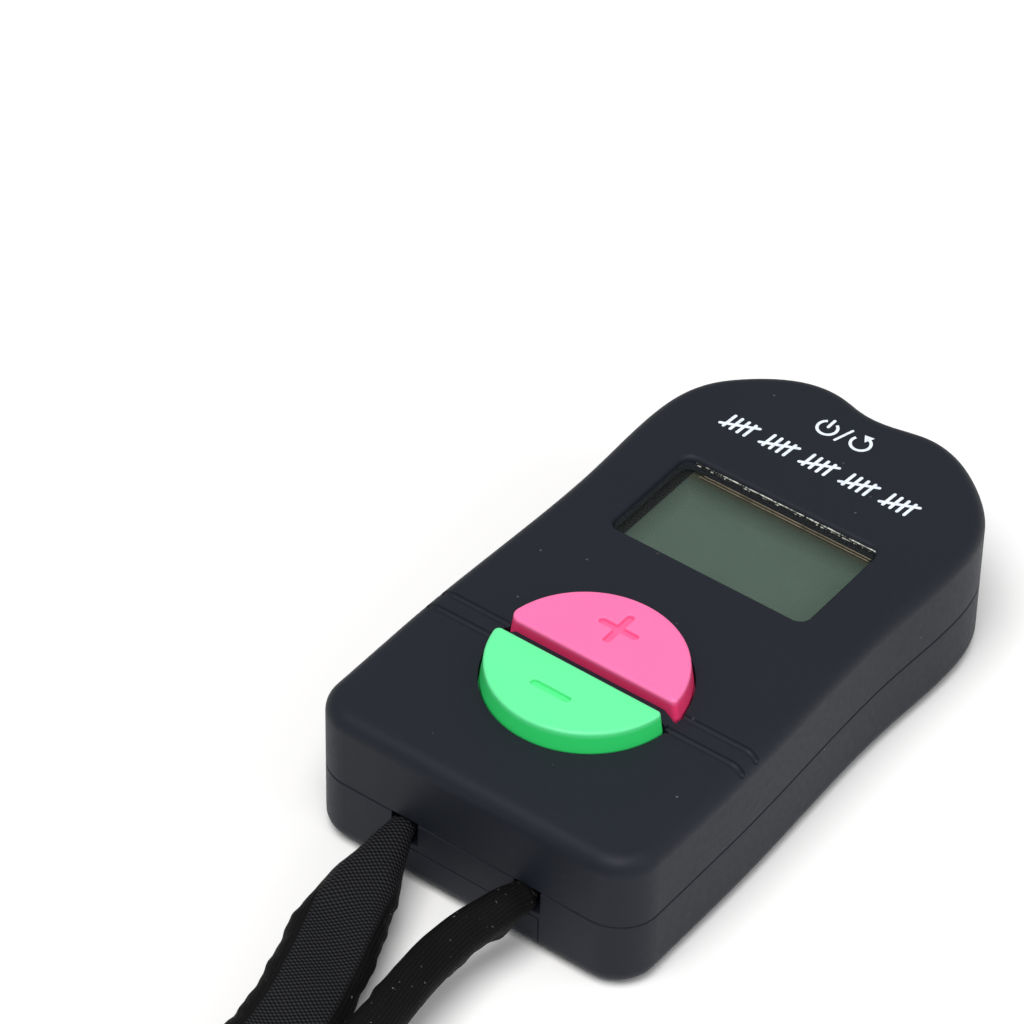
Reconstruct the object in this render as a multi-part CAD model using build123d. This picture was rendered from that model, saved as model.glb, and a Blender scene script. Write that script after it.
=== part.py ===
from build123d import *
import os
import math

os.makedirs("parts", exist_ok=True)

# ---------------------------------------------------------------- driving dimensions (mm)
# Frame: Z up out of the display face, X to the right seen from the front, Y from the
# lanyard end towards the reset button. The case lies on its flat back at Z = 0.
CASE_H = 16.6          # case thickness, back face to display face
SEAM_Z = 8.1           # parting plane between the two shells
END_Y = -35.6          # lanyard end
WALL = 1.6             # shell wall
EDGE_R = 1.8           # outer edge radius, front and back
CORNER_R = 4.5         # plan radius of the two lanyard-end corners
HALF_W = 19.55         # half width at the lanyard end
TONGUE_H = 1.0         # lap of the back shell inside the front shell
SEAM_C = 0.16          # small chamfers that make the visible parting groove

# half outline of the case seen from the front, from the straight side to the middle of
# the dip at the reset end
SIDE = [(19.55, -31.1), (19.52, -15.0), (18.88, 0.0), (18.78, 10.0), (19.15, 19.5),
        (17.72, 27.4), (13.7, 32.0), (9.3, 34.6), (5.0, 35.05), (0.0, 34.1)]

WIN_X, WIN_Y0, WIN_Y1 = 11.9, 3.46, 16.85   # display opening
WIN_R = 1.2
WIN_BEVEL = 0.7

BTN_X = -0.15          # the well sits a little to the left
BTN_Y = -16.15         # centre of the round button well
GAP_DY = -0.38         # the gap between the caps lies this far from the well's centre
BTN_R = 10.1           # radius of the two half-disc caps together
BTN_DRAFT = 0.35       # their walls widen by this much down to the face
BTN_GAP = 1.75         # gap between the two caps
BTN_TOP = 18.85        # cap top, proud of the face
BTN_CLR = 0.2
BTN_TRAVEL = 0.9
SIGN_X = -0.5          # middle of the recessed plus and minus
SIGN_W = 0.8           # stroke of the recessed plus and minus
SIGN_D = 0.42
BAR_W = 1.15           # bar of the front shell between the two caps
BAR_TOP = 17.55        # its top, a little above the face

GROOVE_Y = -16.0       # middle of the two rounded grooves each side of the well
GROOVE_DY = 1.2
GROOVE_W = 0.92
GROOVE_D = 0.36

RESET_HW, RESET_HH = 4.75, 3.95   # half width and half height of the reset cap
RESET_OUT = 35.6
RESET_TRAVEL = 0.8
RESET_CLR = 0.18

SCREW_XY = [(-12.6, -30.4), (12.6, -30.4), (-12.5, 25.6), (12.5, 25.6)]
WELL_R = 1.98          # corner screw wells
WELL_Z = 4.5
CSCREW_XY = (0.0, 8.0)
CWELL_R = 1.72         # middle screw well
CWELL_Z = 4.2

DOOR_HW = 7.2          # battery door half width
DOOR_Y = -14.4         # its inner edge
DOOR_SHW = 8.8         # half width at its shoulders
DOOR_SY = -32.0        # where the shoulders start
DOOR_T = 1.5
DOOR_LIP = 4.4         # height of the lip on the end face
DOOR_CLR = 0.12

SLOT_X0, SLOT_X1 = 5.8, 9.05       # lanyard slots
SLOT_Z0 = 5.2

PCB_Z0, PCB_Z1 = 9.0, 10.0
CELL_C = (0.0, -22.0)              # button cell, 11.6 x 5.4
CELL_R, CELL_Z0, CELL_H = 5.8, 1.68, 5.4


# ---------------------------------------------------------------- helpers
def rbox(x0, x1, y0, y1, z0, z1):
    return Pos((x0 + x1) / 2, (y0 + y1) / 2, (z0 + z1) / 2) * Box(x1 - x0, y1 - y0, z1 - z0)


def cyl(x, y, z0, z1, r):
    return Pos(x, y, (z0 + z1) / 2) * Cylinder(r, z1 - z0)


def spline_xy(t_pts, n=260):
    """dense samples of the smooth side curve, both halves joined"""
    full = t_pts + [(-x, y) for x, y in reversed(t_pts[:-1])]
    e = Spline(*[Vector(x, y) for x, y in full], tangents=[Vector(0, 1), Vector(0, -1)])
    return [(e @ (i / n), e % (i / n)) for i in range(n + 1)]


OUT = spline_xy(SIDE)


def case_face(off=0.0):
    """plan outline of the case, moved inwards by off"""
    pts = []
    for p, t in OUT[::6]:
        # travelling anticlockwise, so the inside is to the left of the tangent
        pts.append(Vector(p.X - t.Y * off, p.Y + t.X * off))
    p, t = OUT[-1]
    if len(OUT[::6]) and OUT[::6][-1] is not OUT[-1]:
        pts.append(Vector(p.X - t.Y * off, p.Y + t.X * off))
    side = Spline(*pts, tangents=[Vector(0, 1), Vector(0, -1)])
    a, b = side @ 1, side @ 0
    r = CORNER_R - off
    y = END_Y + off
    c1 = RadiusArc(a, Vector(a.X + r, y), -r)
    ln = Line(Vector(a.X + r, y), Vector(b.X - r, y))
    c2 = RadiusArc(Vector(b.X - r, y), b, -r)
    return make_face([side, c1, ln, c2])


def slab(off, z0, z1):
    return extrude(Pos(0, 0, z0) * case_face(off), amount=z1 - z0)


def edges_at_z(s, z, tol=1e-3):
    return [e for e in s.edges() if abs(e.bounding_box().min.Z - z) < tol and abs(e.bounding_box().max.Z - z) < tol]


def solid(off, z0, z1, r, top=True):
    s = slab(off, z0, z1)
    return fillet(edges_at_z(s, z1 if top else z0), r)


def half_face(r, chord, side, corner=(0.0, 0.0)):
    """half disc outline on the +Y (side 1) or -Y (side -1) of the gap line, with the radii of its left and right corners"""
    y = GAP_DY + side * chord
    half = math.sqrt(r * r - y * y)
    f = make_face([Line((-half, y), (half, y)), ThreePointArc((half, y), (0, side * r), (-half, y))])
    for sx, rad in zip((-1, 1), corner):
        if rad:
            f = fillet([v for v in f.vertices() if abs(v.X - sx * half) < 1e-3], rad)
    return Pos(BTN_X, BTN_Y, 0) * f


def half_disc(r, chord, z0, z1, side, corner=(0.0, 0.0)):
    return extrude(Pos(0, 0, z0) * half_face(r, chord, side, corner), amount=z1 - z0, dir=(0, 0, 1))


def lens_face(hw, hh):
    """pointed oval in the XZ plane, tips slightly rounded, centred on the parting plane"""
    def arc(sz):
        return ThreePointArc((-hw, 0), (0, sz * hh), (hw, 0))
    f = make_face([arc(1), arc(-1)])
    return fillet(f.vertices(), 0.9)


def lens_prism(hw, hh, y0, y1):
    f = lens_face(hw, hh)
    s = extrude(f, amount=y1 - y0)          # along +Z, then stood up along Y
    return Pos(0, y1, SEAM_Z) * Rot(90, 0, 0) * s


def slot_rect(x0, x1, y0, y1, z0, z1, r):
    b = rbox(x0, x1, y0, y1, z0, z1)
    return fillet(b.edges().filter_by(Axis.Z), r)


def one(s):
    sl = s.solids()
    if len(sl) > 1:
        sl = sorted(sl, key=lambda q: -q.volume)
        print("   note: kept the largest of", len(sl), [round(q.volume, 3) for q in sl])
    return sl[0]


def save(s, name):
    export_step(s, f"parts/{name}.step")
    print(name, round(s.volume, 2))


def group(items):
    return Compound(children=list(items))


# ---------------------------------------------------------------- shells
body_all_back = solid(0.0, 0.0, SEAM_Z, EDGE_R, top=False)
body_all_front = solid(0.0, SEAM_Z, CASE_H, EDGE_R, top=True)

# front shell
front = chamfer(edges_at_z(body_all_front, SEAM_Z), SEAM_C)
front -= slab(WALL, SEAM_Z, CASE_H - WALL)
front -= slab(0.86, SEAM_Z, SEAM_Z + TONGUE_H + 0.1)
# display opening with a soft bevel round it
wx, wy0, wy1 = WIN_X, WIN_Y0, WIN_Y1
win = slot_rect(-wx, wx, wy0, wy1, CASE_H - 4, CASE_H + 1, WIN_R)
front -= win
rim = [e for e in front.edges() if abs(e.bounding_box().min.Z - CASE_H) < 1e-3 and abs(e.bounding_box().max.Z - CASE_H) < 1e-3
       and abs(e.center().X) < WIN_X + 0.5 and WIN_Y0 - 0.5 < e.center().Y < WIN_Y1 + 0.5]
front = fillet(rim, WIN_BEVEL)
# button well: two half-round holes with a bar between them
for sd in (1, -1):
    front -= half_disc(BTN_R + BTN_DRAFT + BTN_CLR, BAR_W / 2, CASE_H - WALL - 0.5, CASE_H + 1, sd)
gy = BTN_Y + GAP_DY
bar = make_face(Polyline((-10.2, CASE_H - 1.0), (10.2, CASE_H - 1.0), (10.2, CASE_H), (9.0, BAR_TOP), (-9.0, BAR_TOP), (-10.2, CASE_H), close=True))
bar = Pos(0, gy + BAR_W / 2, 0) * extrude(Plane.XZ * bar, amount=BAR_W)
front += bar
# two rounded grooves each side of the well, which run out on the rounded edge of the case
GR_T = (GROOVE_W ** 2 / 4 + GROOVE_D ** 2) / (2 * GROOVE_D)      # tool radius for that width and depth
lift = GR_T - GROOVE_D
flat_x = 19.5 - EDGE_R
for sy in (1, -1):
    yc = GROOVE_Y + sy * GROOVE_DY
    zt = CASE_H + lift
    ra = EDGE_R + lift
    a_end = math.radians(38)
    l1 = Line((10.0, yc, zt), (flat_x, yc, zt))
    a1 = ThreePointArc((flat_x, yc, zt),
                       (flat_x + ra * math.cos(math.radians(64)), yc, CASE_H - EDGE_R + ra * math.sin(math.radians(64))),
                       (flat_x + ra * math.cos(a_end), yc, CASE_H - EDGE_R + ra * math.sin(a_end)))
    tool = sweep(Plane(origin=(10.0, yc, zt), z_dir=(1, 0, 0)) * Circle(GR_T), path=Wire([l1.edge(), a1.edge()]))
    e = a1 @ 1
    tool += Pos(e.X, e.Y, e.Z) * Sphere(GR_T)
    front -= tool
    front -= mirror(tool, Plane.YZ)
# bosses
for x, y in SCREW_XY:
    front += cyl(x, y, SEAM_Z + 0.02, CASE_H - WALL + 0.1, 2.5)
    front -= cyl(x, y, SEAM_Z - 1, SEAM_Z + 5.2, 1.02)
BOARD_XY = [(-14.0, -2.6), (14.0, -2.6)]
for x, y in BOARD_XY:
    front += cyl(x, y, PCB_Z1, CASE_H - WALL + 0.1, 1.9)
    front -= cyl(x, y, PCB_Z1 - 1, PCB_Z1 + 3.6, 0.72)
# reset opening
front -= lens_prism(RESET_HW + RESET_CLR, RESET_HH + RESET_CLR, 31.0, 38.0)
front = one(front)
save(front, "front_shell")

# back shell
back = chamfer(edges_at_z(body_all_back, SEAM_Z), SEAM_C)
back -= slab(WALL, WALL, SEAM_Z)
back += (slab(0.94, SEAM_Z - 0.8, SEAM_Z + TONGUE_H) - slab(WALL, SEAM_Z - 1, SEAM_Z + TONGUE_H + 1)) \
    & slab(0.94, SEAM_Z - 0.8, SEAM_Z + TONGUE_H)
for x, y in SCREW_XY:
    back += cyl(x, y, WALL - 0.1, SEAM_Z - 0.02, 2.85)
    back -= cyl(x, y, -1, WELL_Z, WELL_R)
    back -= cyl(x, y, 0, SEAM_Z + 2, 1.12)
x, y = CSCREW_XY
back += cyl(x, y, WALL - 0.1, SEAM_Z - 0.02, 2.6)
back -= cyl(x, y, -1, CWELL_Z, CWELL_R)
back -= cyl(x, y, 0, SEAM_Z + 2, 1.0)
# cradle for the cell, above the door opening
cradle = rbox(-9.4, 9.4, -30.9, -12.6, WALL - 0.05, 7.4) - cyl(*CELL_C, 0, 9, 6.1)
cradle -= rbox(5.6, 6.95, -24.3, -19.7, 1.0, 9)
cradle -= rbox(-5.5, 5.5, -29.6, -26.0, 1.0, 9)
back += cradle
# door opening: narrow part, shoulders, side grooves, latch pocket and the gap in the end wall
c = DOOR_CLR
back -= rbox(-DOOR_HW - c, DOOR_HW + c, -38, DOOR_Y + c, -1, WALL)
back -= rbox(-DOOR_SHW - c, DOOR_SHW + c, -38, DOOR_SY + c, -1, WALL)
back -= rbox(-8.2, 8.2, -32.1, -15.0, 0.85, WALL)
back -= rbox(-3.1, 3.1, -15.0, -13.0, 0.85, WALL)
back -= rbox(-DOOR_SHW - c, DOOR_SHW + c, -38, -33.5, 0, DOOR_LIP + c)
# lanyard slots, open at the parting plane
for sx in (1, -1):
    xa, xb = sorted((sx * SLOT_X0, sx * SLOT_X1))
    back -= rbox(xa, xb, -38, -33.5, SLOT_Z0, SEAM_Z + TONGUE_H + 1)
# space behind the bar for the strap
back -= rbox(-9.05, 9.05, -34.1, -31.6, SLOT_Z0 - 0.2, SEAM_Z + TONGUE_H + 1)
back -= lens_prism(RESET_HW + RESET_CLR, RESET_HH + RESET_CLR, 31.0, 38.0)
back = one(back)
save(back, "back_shell")

# battery door, cut from the same outer form so that it lies flush
door = rbox(-DOOR_HW, DOOR_HW, -38, DOOR_Y, 0, DOOR_T)
door += rbox(-DOOR_SHW, DOOR_SHW, -38, DOOR_SY, 0, DOOR_T)
door += rbox(-DOOR_SHW, DOOR_SHW, -38, -33.62, 0, DOOR_LIP)
door += rbox(-8.08, 8.08, -32.1, -15.2, 0.95, DOOR_T)
door += rbox(-3.0, 3.0, -15.0, -13.15, 0.95, DOOR_T)
door = door & body_all_back
ty = -20.05
tri_o = make_face(Polyline((-3.1, ty), (3.1, ty), (0.0, ty + 4.1), close=True))
tri_i = make_face(Polyline((-2.1, ty + 0.55), (2.1, ty + 0.55), (0.0, ty + 3.2), close=True))
mark = extrude(tri_o, amount=0.3) - extrude(tri_i, amount=0.3)
door -= mark
for yb in (-22.4, -24.8, -27.2):
    door -= slot_rect(-2.9, 2.75, yb - 0.28, yb + 0.28, -0.1, 0.28, 0.25)
door = one(door)
save(door, "battery_door")

# ---------------------------------------------------------------- display
lens = slot_rect(-wx + 0.12, wx - 0.12, wy0 + 0.12, wy1 - 0.12, 15.0, 16.05, WIN_R - 0.1)
lens += slot_rect(-13.6, 13.6, 2.1, 18.2, 14.42, 15.0, 0.6)
save(one(lens), "display_lens")
save(slot_rect(-12.7, 12.7, 2.9, 17.4, 14.1, 14.32, 0.3), "lcd_polarizer")
save(rbox(-13.0, 13.0, 2.6, 19.0, 13.1, 14.1), "lcd_front_glass")
save(rbox(-13.0, 13.0, 2.6, 16.4, 12.1, 13.1), "lcd_rear_glass")
save(rbox(-12.8, 12.8, 2.8, 16.2, 11.95, 12.1), "lcd_reflector")
holder = slot_rect(-14.2, 14.2, 1.4, 20.2, 11.2, 14.35, 0.8)
holder -= rbox(-13.1, 13.1, 2.5, 19.1, 11.95, 15)
holder -= rbox(-12.2, 12.2, 16.8, 18.8, 10, 13)
for x in (-13.2, 13.2):
    for y in (2.4, 19.2):
        holder += cyl(x, y, PCB_Z1, 11.3, 0.9)
holder += cyl(*CSCREW_XY, SEAM_Z, 11.3, 2.0)
holder -= cyl(*CSCREW_XY, SEAM_Z - 1, 11.0, 0.87)
save(one(holder), "lcd_holder")
save(rbox(-12.0, 12.0, 17.0, 18.6, PCB_Z1, 13.1), "zebra_strip")

# ---------------------------------------------------------------- board
pcb = slot_rect(-16.3, 16.3, -27.0, 22.0, PCB_Z0, PCB_Z1, 1.0)
pcb += rbox(-7.5, 7.5, 21.0, 28.3, PCB_Z0, PCB_Z1)
pcb -= cyl(*CSCREW_XY, 8, 11, 2.15)
for x, y in BOARD_XY:
    pcb -= cyl(x, y, 8, 11, 0.85)
save(one(pcb), "circuit_board")
blob = Pos(-6.5, 9.0, PCB_Z1) * Sphere(3.6)
blob = Pos(-6.5, 9.0, PCB_Z1) * scale(Sphere(3.2), (1, 1, 0.3)) & rbox(-12, 0, 0, 20, PCB_Z1, 12)
save(one(blob), "controller_chip")
cr = Pos(10.0, 12.0, PCB_Z0 - 1.0) * Rot(90, 0, 0) * Cylinder(1.0, 6.0)
save(one(cr), "crystal")
chips = [rbox(x - .8, x + .8, y - .4, y + .4, PCB_Z0 - .6, PCB_Z0)
         for x, y in ((10, 5), (10, 3), (-10, 12), (-10, 14), (-10, 16), (5, 16))]
save(group(chips), "chip_components")


def screw(x, y, z_seat, head_r, head_h, r, z_end):
    s = cyl(x, y, z_seat - head_h, z_seat, head_r)
    s = fillet([e for e in s.edges() if abs(e.bounding_box().max.Z - (z_seat - head_h)) < 1e-3], head_h * 0.35)
    s += cyl(x, y, z_seat - 0.1, z_end, r)
    s -= rbox(x - head_r * .62, x + head_r * .62, y - .22, y + .22, z_seat - head_h - .1, z_seat - head_h * .45)
    s -= rbox(x - .22, x + .22, y - head_r * .62, y + head_r * .62, z_seat - head_h - .1, z_seat - head_h * .45)
    return one(s)


save(group([screw(x, y, WELL_Z, 1.78, 1.3, 1.0, SEAM_Z + 4.6) for x, y in SCREW_XY]), "case_screws")
save(screw(*CSCREW_XY, CWELL_Z, 1.55, 1.1, 0.85, 10.6), "centre_screw")
save(group([screw(x, y, PCB_Z0, 1.4, 0.9, 0.7, PCB_Z1 + 3.2) for x, y in BOARD_XY]), "board_screws")

# ---------------------------------------------------------------- battery and contacts
cell = cyl(*CELL_C, CELL_Z0, CELL_Z0 + CELL_H, CELL_R)
cell = fillet(cell.edges(), 0.35)
save(one(cell), "button_cell")
cz = CELL_Z0 + CELL_H
neg = rbox(-1.6, 1.6, -26.4, -24.4, PCB_Z0 - 0.25, PCB_Z0)
leg = make_face(Polyline((-24.6, PCB_Z0), (-24.6, PCB_Z0 - 0.25), (-21.2, cz), (-20.2, cz), (-20.2, cz + 0.25),
                         (-21.1, cz + 0.25), (-24.4, PCB_Z0), close=True))
neg += Pos(-1.6, 0, 0) * extrude(Plane.YZ * leg, amount=3.2)
save(one(neg), "battery_contact_negative")
posc = rbox(5.82, 6.1, -23.8, -20.2, 2.4, PCB_Z0) + rbox(5.82, 9.0, -23.8, -20.2, PCB_Z0 - 0.28, PCB_Z0)
save(one(posc), "battery_contact_positive")

# ---------------------------------------------------------------- the two count buttons
DOME_DY = 4.9
for nm, sd in (("plus", 1), ("minus", -1)):
    yc = BTN_Y + sd * DOME_DY
    cr = (1.2, 0.5) if sd > 0 else (0.6, 0.5)
    top_f = half_face(BTN_R, BTN_GAP / 2, sd, cr)
    low_f = half_face(BTN_R + BTN_DRAFT, BTN_GAP / 2, sd, cr)
    cap = loft([Pos(0, 0, CASE_H - 0.1) * low_f, Pos(0, 0, BTN_TOP) * top_f], ruled=True)
    cap = fillet(edges_at_z(cap, BTN_TOP), 0.34)
    cap += half_disc(BTN_R + BTN_DRAFT, BTN_GAP / 2, 13.6, CASE_H - 0.1, sd, cr)
    cap += half_disc(BTN_R + 1.3, 0.35, 13.6, 14.9, sd, corner=(0.6, 0.6))
    hollow = half_disc(BTN_R - 1.3, BTN_GAP / 2 + 1.3, 12, BTN_TOP - 1.4, sd)
    cap -= hollow
    cap += cyl(0, yc, 12.6, BTN_TOP - 1.0, 2.1)
    ys = BTN_Y + (5.65 if sd > 0 else -5.45)
    zt = BTN_TOP - SIGN_D
    sign = slot_rect(SIGN_X - 2.3, SIGN_X + 2.3, ys - SIGN_W / 2, ys + SIGN_W / 2, zt, BTN_TOP + 1, SIGN_W / 2 - 0.02)
    if sd > 0:
        sign += slot_rect(SIGN_X - SIGN_W / 2, SIGN_X + SIGN_W / 2, ys - 2.3, ys + 2.3, zt, BTN_TOP + 1, SIGN_W / 2 - 0.02)
    cap -= sign
    lip = [e for e in edges_at_z(cap, BTN_TOP) if abs(e.center().X - SIGN_X) < 3 and abs(e.center().Y - ys) < 3]
    cap = fillet(lip, 0.18)
    save(one(cap), f"{nm}_button")
    dome = cyl(0, yc, PCB_Z1, PCB_Z1 + 0.5, 4.1)
    dome += Pos(0, yc, PCB_Z1 + 1.3) * Cone(3.6, 2.5, 1.6)
    dome += cyl(0, yc, PCB_Z1 + 2.0, 12.6, 2.5)
    dome -= Pos(0, yc, PCB_Z1 + 0.8) * Cone(3.1, 2.05, 1.62)
    dome -= cyl(0, yc, PCB_Z1 - 0.01, PCB_Z1 + 0.2, 3.1)
    save(one(dome), f"{nm}_dome")
    save(cyl(0, yc, PCB_Z1 + 0.96, PCB_Z1 + 1.6, 1.6), f"{nm}_contact_pill")

# ---------------------------------------------------------------- reset button
cap = lens_prism(RESET_HW, RESET_HH, 32.5, RESET_OUT)
fe = [e for e in cap.edges() if abs(e.bounding_box().min.Y - RESET_OUT) < 1e-3]
cap = fillet(fe, 0.8)
flange = rbox(-5.9, 5.9, 31.1, 32.2, SEAM_Z - 4.4, SEAM_Z + 4.4)
flange = fillet(flange.edges().filter_by(Axis.Y), 1.5)
cap += flange + rbox(-3.5, 3.5, 32.0, 32.8, SEAM_Z - 2.4, SEAM_Z + 2.4)
RZ = 7.8
cap += Pos(0, 30.65, RZ) * Rot(90, 0, 0) * Cylinder(1.3, 1.1)
save(one(cap), "reset_button")
sw = rbox(-3.0, 3.0, 24.6, 28.3, PCB_Z0 - 2.6, PCB_Z0)
sw -= Pos(0, 28.0, RZ) * Rot(90, 0, 0) * Cylinder(1.15, 4.0)
save(one(sw), "reset_switch")
pl = Pos(0, 28.8, RZ) * Rot(90, 0, 0) * Cylinder(1.05, 2.6)
save(one(pl), "reset_plunger")
# coil spring between the switch and the flange
helix = Helix(pitch=0.84, height=2.1, radius=2.0)
prof = Plane(origin=helix @ 0, z_dir=helix % 0) * Circle(0.2)
spr = sweep(prof, path=helix)
spr = Pos(0, 30.85, RZ) * Rot(90, 0, 0) * spr
save(one(spr), "reset_spring")

# ---------------------------------------------------------------- lanyard
# A flat woven neck strap, one loop. It passes behind the bar between the two slots; the
# two strands run side by side to a roll of the spare length, which stands on edge.
strap_in = rbox(-8.85, 8.85, -34.05, -31.95, SLOT_Z0, 7.9)
for sx in (1, -1):
    xa, xb = sorted((sx * (SLOT_X0 + 0.1), sx * (SLOT_X1 - 0.15)))
    strap_in += rbox(xa, xb, END_Y, -33.5, SLOT_Z0 + 0.1, 7.9)
save(one(strap_in), "lanyard_inner")

STRAP_D = 2.6
ROLL_C = (22.0, -130.0)
ROLL_R = 48.6          # outside of the roll
ROLL_RI = 27.0
ROLL_H = 10.2
LEFT = [(-7.45, END_Y, 6.5), (-6.4, -40.5, 6.5), (-5.3, -46.5, 6.5), (-2.9, -53.5, 6.45), (-0.3, -61.5, 6.4), (0.6, -71.0, 6.2),
        (-3.6, -83.5, 5.8), (-11.3, -97.0, 5.4), (-19.0, -110.5, 5.2), (-23.2, -122.0, 5.1), (-24.0, -130.0, 5.1)]
RIGHT = [(7.45, END_Y, 6.5), (6.2, -39.5, 6.5), (4.9, -44.5, 6.5), (4.8, -50.5, 6.5), (5.9, -58.0, 6.45), (6.8, -68.0, 6.3),
         (3.2, -82.5, 5.8), (-6.3, -97.5, 5.4), (-14.3, -110.0, 5.2), (-19.0, -121.5, 5.1), (-20.0, -130.0, 5.1)]


def strap_tube(pts, name):
    v = [Vector(*p) for p in pts]
    radii = []
    for i in range(1, len(v) - 1):
        a, b = v[i] - v[i - 1], v[i + 1] - v[i]
        ang = math.radians(a.get_angle(b))
        radii.append(0.45 * min(a.length, b.length) / math.tan(ang / 2))
    path = FilletPolyline(*v, radius=radii)
    s = sweep(Plane(origin=v[0], z_dir=v[1] - v[0]) * Circle(STRAP_D / 2), path=path)
    s -= rbox(-12, 12, END_Y, END_Y + 5, 0, 12)      # flat start, flush with the end face
    print(name, "radii", [round(r, 1) for r in radii], "length", round(path.length, 1),
          "volume ratio", round(s.volume / (math.pi * STRAP_D ** 2 / 4 * path.length), 4))
    return one(s), path.length


s, la = strap_tube(LEFT, "lanyard_strap_left")
save(s, "lanyard_strap_left")
s, lb = strap_tube(RIGHT, "lanyard_strap_right")
save(s, "lanyard_strap_right")
roll = cyl(*ROLL_C, 0, ROLL_H, ROLL_R) - cyl(*ROLL_C, -1, ROLL_H + 1, ROLL_RI)
save(one(roll), "lanyard_roll")
# band round the bundled turns, on the side away from the case
ty = ROLL_C[1] - 38.0
tie = rbox(ROLL_C[0] - 3, ROLL_C[0] + 3, ty - 12.0, ty + 12.0, 0, ROLL_H + 0.5)
tie -= rbox(ROLL_C[0] - 4, ROLL_C[0] + 4, ty - 11.2, ty + 11.2, 0.4, ROLL_H + 0.02)
save(one(tie), "roll_tie")
print("strap", round(la, 1), round(lb, 1))
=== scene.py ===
import math

import bmesh
import bpy
import numpy as np
from mathutils import Matrix, Vector


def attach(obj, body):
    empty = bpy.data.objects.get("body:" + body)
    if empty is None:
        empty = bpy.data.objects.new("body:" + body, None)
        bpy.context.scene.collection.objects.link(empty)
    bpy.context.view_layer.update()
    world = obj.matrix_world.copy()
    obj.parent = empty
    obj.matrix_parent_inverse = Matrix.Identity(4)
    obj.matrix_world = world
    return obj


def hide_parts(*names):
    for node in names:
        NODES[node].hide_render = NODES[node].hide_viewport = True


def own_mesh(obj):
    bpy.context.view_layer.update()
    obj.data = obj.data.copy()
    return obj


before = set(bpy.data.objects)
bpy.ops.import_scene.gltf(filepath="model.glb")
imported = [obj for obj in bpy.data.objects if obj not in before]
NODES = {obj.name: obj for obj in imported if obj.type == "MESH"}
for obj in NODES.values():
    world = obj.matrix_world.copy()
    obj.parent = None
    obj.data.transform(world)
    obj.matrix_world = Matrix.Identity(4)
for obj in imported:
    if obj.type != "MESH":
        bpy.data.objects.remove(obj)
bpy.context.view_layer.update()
MM = 0.001
CASE = "case"


def mm(*p):
    return tuple(c * MM for c in p)


# ---------------------------------------------------------------- camera
cam_data = bpy.data.cameras.new("camera")
cam = bpy.data.objects.new("camera", cam_data)
bpy.context.scene.collection.objects.link(cam)
bpy.context.scene.camera = cam
cam_data.sensor_width = 36.0
cam_data.lens = 5254.1 * 36.0 / 1024.0
cam_data.clip_start, cam_data.clip_end = 0.02, 20.0
RX = Vector((0.796468, 0.604491, 0.015145))
RY = Vector((0.411049, -0.522882, -0.746748))
RZ = Vector((-0.443484, 0.600987, -0.664934))
m = Matrix.Identity(4)
for i in range(3):
    m[i][0], m[i][1], m[i][2] = RX[i], -RY[i], -RZ[i]
m[0][3], m[1][3], m[2][3] = mm(214.43243853, -319.74187599, 368.91221592)
cam.matrix_world = m


# ---------------------------------------------------------------- lanyard route, in mm
LEFT = [(-7.45, -35.6, 6.5), (-6.6, -40.5, 6.5), (-5.5, -46.5, 6.5), (-2.9, -53.5, 6.45), (-0.3, -61.5, 6.4), (0.6, -71.0, 6.2),
        (-3.6, -83.5, 5.8), (-11.3, -97.0, 5.4), (-19.0, -110.5, 5.2), (-23.2, -122.0, 5.1)]
RIGHT = [(7.45, -35.6, 6.5), (6.3, -39.5, 6.5), (5.3, -44.5, 6.5), (5.4, -50.5, 6.5), (6.6, -58.0, 6.45), (7.2, -68.0, 6.3),
         (3.2, -82.5, 5.8), (-6.3, -97.5, 5.4), (-14.3, -110.0, 5.2), (-19.0, -121.5, 5.1)]
ROLL_C = (22.0, -130.0)
ROLL_Z = 5.1
TURN = 16          # control points for each turn of the roll
PITCH = 8.0        # both strands move in by this much each turn
R_A, R_B = 46.0, 42.0
A_END = 475.0      # degrees of roll of the first strand, from the west side
B_END = 355.5


def on_roll(r0, deg, swell=1.0):
    """a point of the roll: deg runs anticlockwise from the west side"""
    a = math.radians(180.0 + deg)
    r = (r0 - PITCH * deg / 360.0) * swell
    r += 0.35 * math.sin(3 * a + 0.7) + 0.25 * math.sin(5 * a)
    return (ROLL_C[0] + r * math.cos(a), ROLL_C[1] + r * math.sin(a), ROLL_Z)


def arc_points(c, r, a0, a1, n, swell):
    """control points round a small arc, from angle a0 to a1 in degrees"""
    return [(ROLL_C[0] + c[0] + r * swell * math.cos(math.radians(a0 + (a1 - a0) * (i + 0.5) / n)),
             ROLL_C[1] + c[1] + r * swell * math.sin(math.radians(a0 + (a1 - a0) * (i + 0.5) / n)), ROLL_Z)
            for i in range(n)]


route = list(LEFT)
step = 360.0 / TURN
deg = 0.0
while deg < A_END - step * 0.5:
    route.append(on_roll(R_A, deg, 1.0 if deg < 10 else 1.019))
    deg += step
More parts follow.
